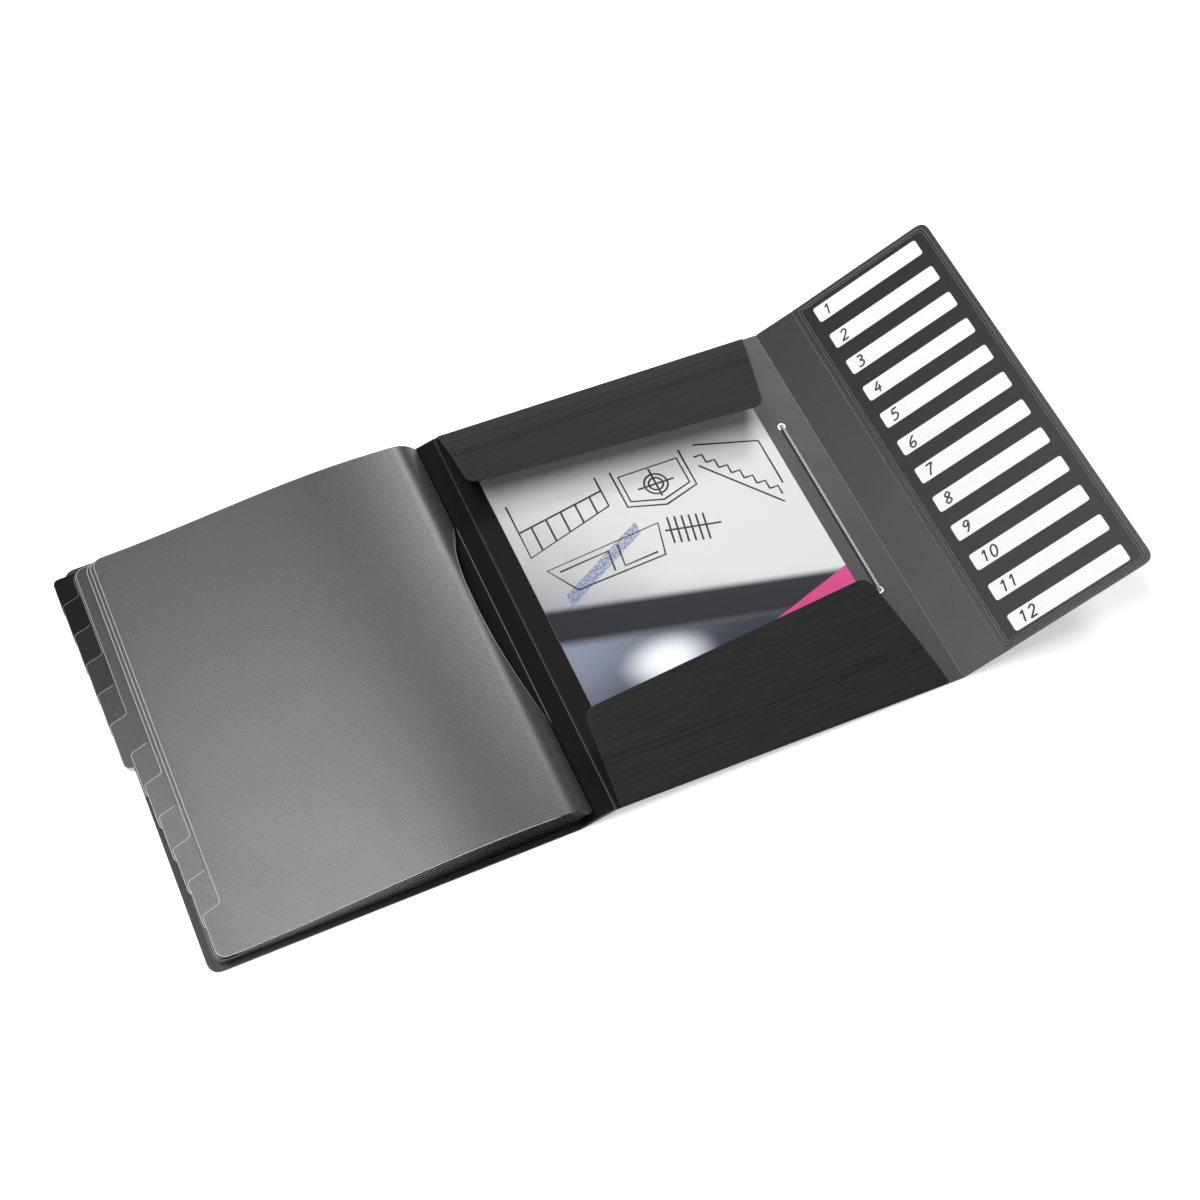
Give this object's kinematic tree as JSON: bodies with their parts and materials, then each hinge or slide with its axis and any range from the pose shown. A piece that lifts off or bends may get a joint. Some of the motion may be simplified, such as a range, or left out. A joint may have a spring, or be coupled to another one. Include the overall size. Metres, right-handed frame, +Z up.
{
  "type": "sorting folder",
  "caption": "A4 sorting folder lying open: front cover with tabbed dividers, spine, back panel with ribbed pocket flaps and an elastic, gusset and closing flap with index fields.",
  "frame": {"origin": "on the table, under the middle of the open folder", "axes": "+X along the open folder from the front cover towards the closing flap, +Y up the pages, +Z up"},
  "size_m": [0.674, 0.319, 0.0709],
  "materials": {
    "cover_plastic": "fine matt grain, dark grey",
    "divider_plastic": "fine matt grain, mid grey, whitish cut edges",
    "black_plastic": "satin black",
    "ribbed_plastic": "satin, finely ribbed, near black",
    "index_plastic": "satin grey film",
    "label_paper": "matt white",
    "document_paper": "printed paper, satin",
    "elastic_cloth": "braided round elastic, grey",
    "eyelet_metal": "bright metal"
  },
  "bodies": {
    "back": {"back_panel": "cover_plastic", "pocket_base": "black_plastic", "document": "document_paper", "eyelet_upper": "eyelet_metal", "eyelet_lower": "eyelet_metal", "elastic_cord": "elastic_cloth"},
    "spine": {"spine_panel": "cover_plastic", "spine_lining": "black_plastic"},
    "cover": {"front_cover": "cover_plastic", "divider_01": "divider_plastic", "divider_02": "divider_plastic", "divider_03": "divider_plastic", "divider_04": "divider_plastic", "divider_05": "divider_plastic", "divider_06": "divider_plastic", "divider_07": "divider_plastic", "divider_08": "divider_plastic", "divider_09": "divider_plastic", "divider_10": "divider_plastic", "divider_11": "divider_plastic", "divider_12": "divider_plastic"},
    "gusset": {"gusset_panel": "cover_plastic"},
    "flap": {"closing_flap": "cover_plastic", "index_panel": "index_plastic", "index_label_01": "label_paper", "index_label_02": "label_paper", "index_label_03": "label_paper", "index_label_04": "label_paper", "index_label_05": "label_paper", "index_label_06": "label_paper", "index_label_07": "label_paper", "index_label_08": "label_paper", "index_label_09": "label_paper", "index_label_10": "label_paper", "index_label_11": "label_paper", "index_label_12": "label_paper"},
    "upper_pocket": {"upper_pocket_flap": "ribbed_plastic"},
    "lower_pocket": {"lower_pocket_flap": "ribbed_plastic"}
  },
  "joints": [
    {"name": "spine_fold", "type": "hinge", "parent": "back", "child": "spine", "pos_m": [-0.05298, 0, 0.00957], "axis": [0, 1, 0], "range_deg": [0, 110]},
    {"name": "cover_fold", "type": "hinge", "parent": "spine", "child": "cover", "pos_m": [-0.07917, 0, 0.001], "axis": [0, 1, 0], "range_deg": [0, 71.4]},
    {"name": "gusset_fold", "type": "hinge", "parent": "back", "child": "gusset", "pos_m": [0.20548, 0, 0.001], "axis": [0, -1, 0], "range_deg": [-25.5, 61.6]},
    {"name": "closing_flap_fold", "type": "hinge", "parent": "gusset", "child": "flap", "pos_m": [0.23394, 0, 0.01519], "axis": [0, -1, 0], "range_deg": [-2.8, 88]},
    {"name": "upper_pocket_fold", "type": "hinge", "parent": "back", "child": "upper_pocket", "pos_m": [0.06999, 0.15915, 0.00649], "axis": [0.9995, 0, -0.0332], "range_deg": [-150, 19.5]},
    {"name": "lower_pocket_fold", "type": "hinge", "parent": "back", "child": "lower_pocket", "pos_m": [0.06999, -0.15915, 0.00649], "axis": [-0.9995, 0, 0.0332], "range_deg": [-150, 19.5]}
  ]
}
